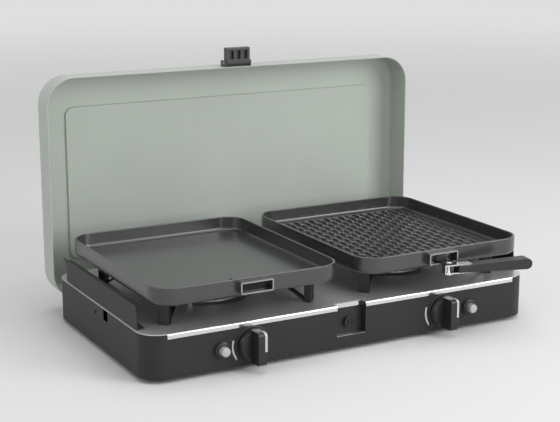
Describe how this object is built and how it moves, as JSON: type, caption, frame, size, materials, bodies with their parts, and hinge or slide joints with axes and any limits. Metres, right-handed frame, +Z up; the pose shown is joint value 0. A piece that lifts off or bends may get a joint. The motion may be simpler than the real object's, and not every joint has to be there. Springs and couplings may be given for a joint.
{
  "type": "camping stove",
  "caption": "Camping gas stove with cast flat and ribbed plates on pan supports, piezo igniters, knobs and a hinged upright lid with a latch.",
  "frame": {"origin": "bottom centre of the whole object's box, on the surface that the feet stand on", "axes": "+X to the stove's right, +Y to its rear, +Z up"},
  "size_m": [0.5878, 0.4092, 0.3516],
  "materials": {
    "charcoal_paint": "fine-textured satin powder coat, charcoal",
    "sage_paint": "smooth satin powder coat, sage green",
    "black_paint": "matt heat-proof enamel, black",
    "stainless_steel": "brushed stainless sheet with a polished front lip",
    "galvanised_steel": "zinc-plated steel",
    "non_stick": "cast aluminium with a dark satin non-stick coating",
    "bright_aluminium": "machined cast aluminium",
    "black_plastic": "fine-grained moulded black",
    "grey_plastic": "light grey moulded plastic",
    "rubber": "matt black rubber",
    "brass": "turned brass",
    "ceramic": "glazed white ceramic"
  },
  "bodies": {
    "base": {"casing": "charcoal_paint", "bottom_tray": "galvanised_steel", "hob_top": "stainless_steel", "gas_rail": "bright_aluminium", "gas_inlet": "brass", "latch_keeper": "galvanised_steel", "foot_front_left": "rubber", "foot_front_right": "rubber", "foot_rear_left": "rubber", "foot_rear_right": "rubber", "burner_body_left": "bright_aluminium", "burner_cap_left": "black_paint", "electrode_left": "ceramic", "jet_left": "brass", "mixer_left": "galvanised_steel", "valve_left": "brass", "knob_bezel_left": "black_plastic", "igniter_left": "grey_plastic", "igniter_collar_left": "black_plastic", "igniter_lead_left": "rubber", "side_shield_left": "black_paint", "hinge_bracket_left": "galvanised_steel", "hinge_pin_left": "galvanised_steel", "burner_body_right": "bright_aluminium", "burner_cap_right": "black_paint", "electrode_right": "ceramic", "jet_right": "brass", "mixer_right": "galvanised_steel", "valve_right": "brass", "knob_bezel_right": "black_plastic", "igniter_right": "grey_plastic", "igniter_collar_right": "black_plastic", "igniter_lead_right": "rubber", "side_shield_right": "black_paint", "hinge_bracket_right": "galvanised_steel", "hinge_pin_right": "galvanised_steel"},
    "lid": {"lid": "sage_paint", "lid_arm_left": "galvanised_steel", "lid_arm_right": "galvanised_steel", "latch_bracket": "black_plastic", "latch_pin": "galvanised_steel"},
    "latch": {"latch": "black_plastic"},
    "knob_left": {"knob_left": "black_plastic", "valve_stem_left": "brass"},
    "knob_right": {"knob_right": "black_plastic", "valve_stem_right": "brass"},
    "igniter_button_left": {"igniter_button_left": "grey_plastic"},
    "igniter_button_right": {"igniter_button_right": "grey_plastic"},
    "pan_support_left": {"pan_support_left": "black_paint"},
    "pan_support_right": {"pan_support_right": "black_paint"},
    "flat_plate": {"flat_plate": "non_stick"},
    "ribbed_plate": {"ribbed_plate": "non_stick"},
    "handle_tongue": {"handle_tongue": "stainless_steel", "handle_pin": "stainless_steel"},
    "handle": {"handle_clip": "stainless_steel", "handle_grip": "black_plastic"}
  },
  "joints": [
    {"name": "lid_hinge", "type": "hinge", "parent": "base", "child": "lid", "pos_m": [-0.01151, 0.13741, 0.04005], "axis": [1, 0, 0], "range_deg": [0, 45]},
    {"name": "latch_hinge", "type": "hinge", "parent": "lid", "child": "latch", "pos_m": [-0.01151, 0.16466, 0.3306], "axis": [1, 0, 0], "range_deg": [0, 90]},
    {"name": "knob_turn_left", "type": "hinge", "parent": "base", "child": "knob_left", "pos_m": [-0.15151, -0.14854, 0.031], "axis": [0, -1, 0], "range_deg": [0, 180]},
    {"name": "knob_turn_right", "type": "hinge", "parent": "base", "child": "knob_right", "pos_m": [0.12849, -0.14854, 0.031], "axis": [0, -1, 0], "range_deg": [0, 180]},
    {"name": "igniter_press_left", "type": "slide", "parent": "base", "child": "igniter_button_left", "axis": [0, 1, 0], "range_m": [0, 0.0045], "stiffness_N_per_m": 400, "springref_m": -0.003},
    {"name": "igniter_press_right", "type": "slide", "parent": "base", "child": "igniter_button_right", "axis": [0, 1, 0], "range_m": [0, 0.0045], "stiffness_N_per_m": 400, "springref_m": -0.003},
    {"name": "pan_support_lift_left", "type": "slide", "parent": "base", "child": "pan_support_left", "axis": [0, -0.7071, 0.7071], "range_m": [0, 0.06]},
    {"name": "flat_plate_lift", "type": "slide", "parent": "pan_support_left", "child": "flat_plate", "axis": [0, -0.7071, 0.7071], "range_m": [0, 0.06]},
    {"name": "pan_support_lift_right", "type": "slide", "parent": "base", "child": "pan_support_right", "axis": [0, -0.7071, 0.7071], "range_m": [0, 0.06]},
    {"name": "ribbed_plate_lift", "type": "slide", "parent": "pan_support_right", "child": "ribbed_plate", "axis": [0, -0.7071, 0.7071], "range_m": [0, 0.06]},
    {"name": "handle_pull", "type": "slide", "parent": "ribbed_plate", "child": "handle_tongue", "axis": [0, -1, 0], "range_m": [0, 0.04]},
    {"name": "handle_swing", "type": "hinge", "parent": "handle_tongue", "child": "handle", "pos_m": [0.11849, -0.17254, 0.0947], "axis": [0, 0, 1], "range_deg": [-156, 0]}
  ]
}
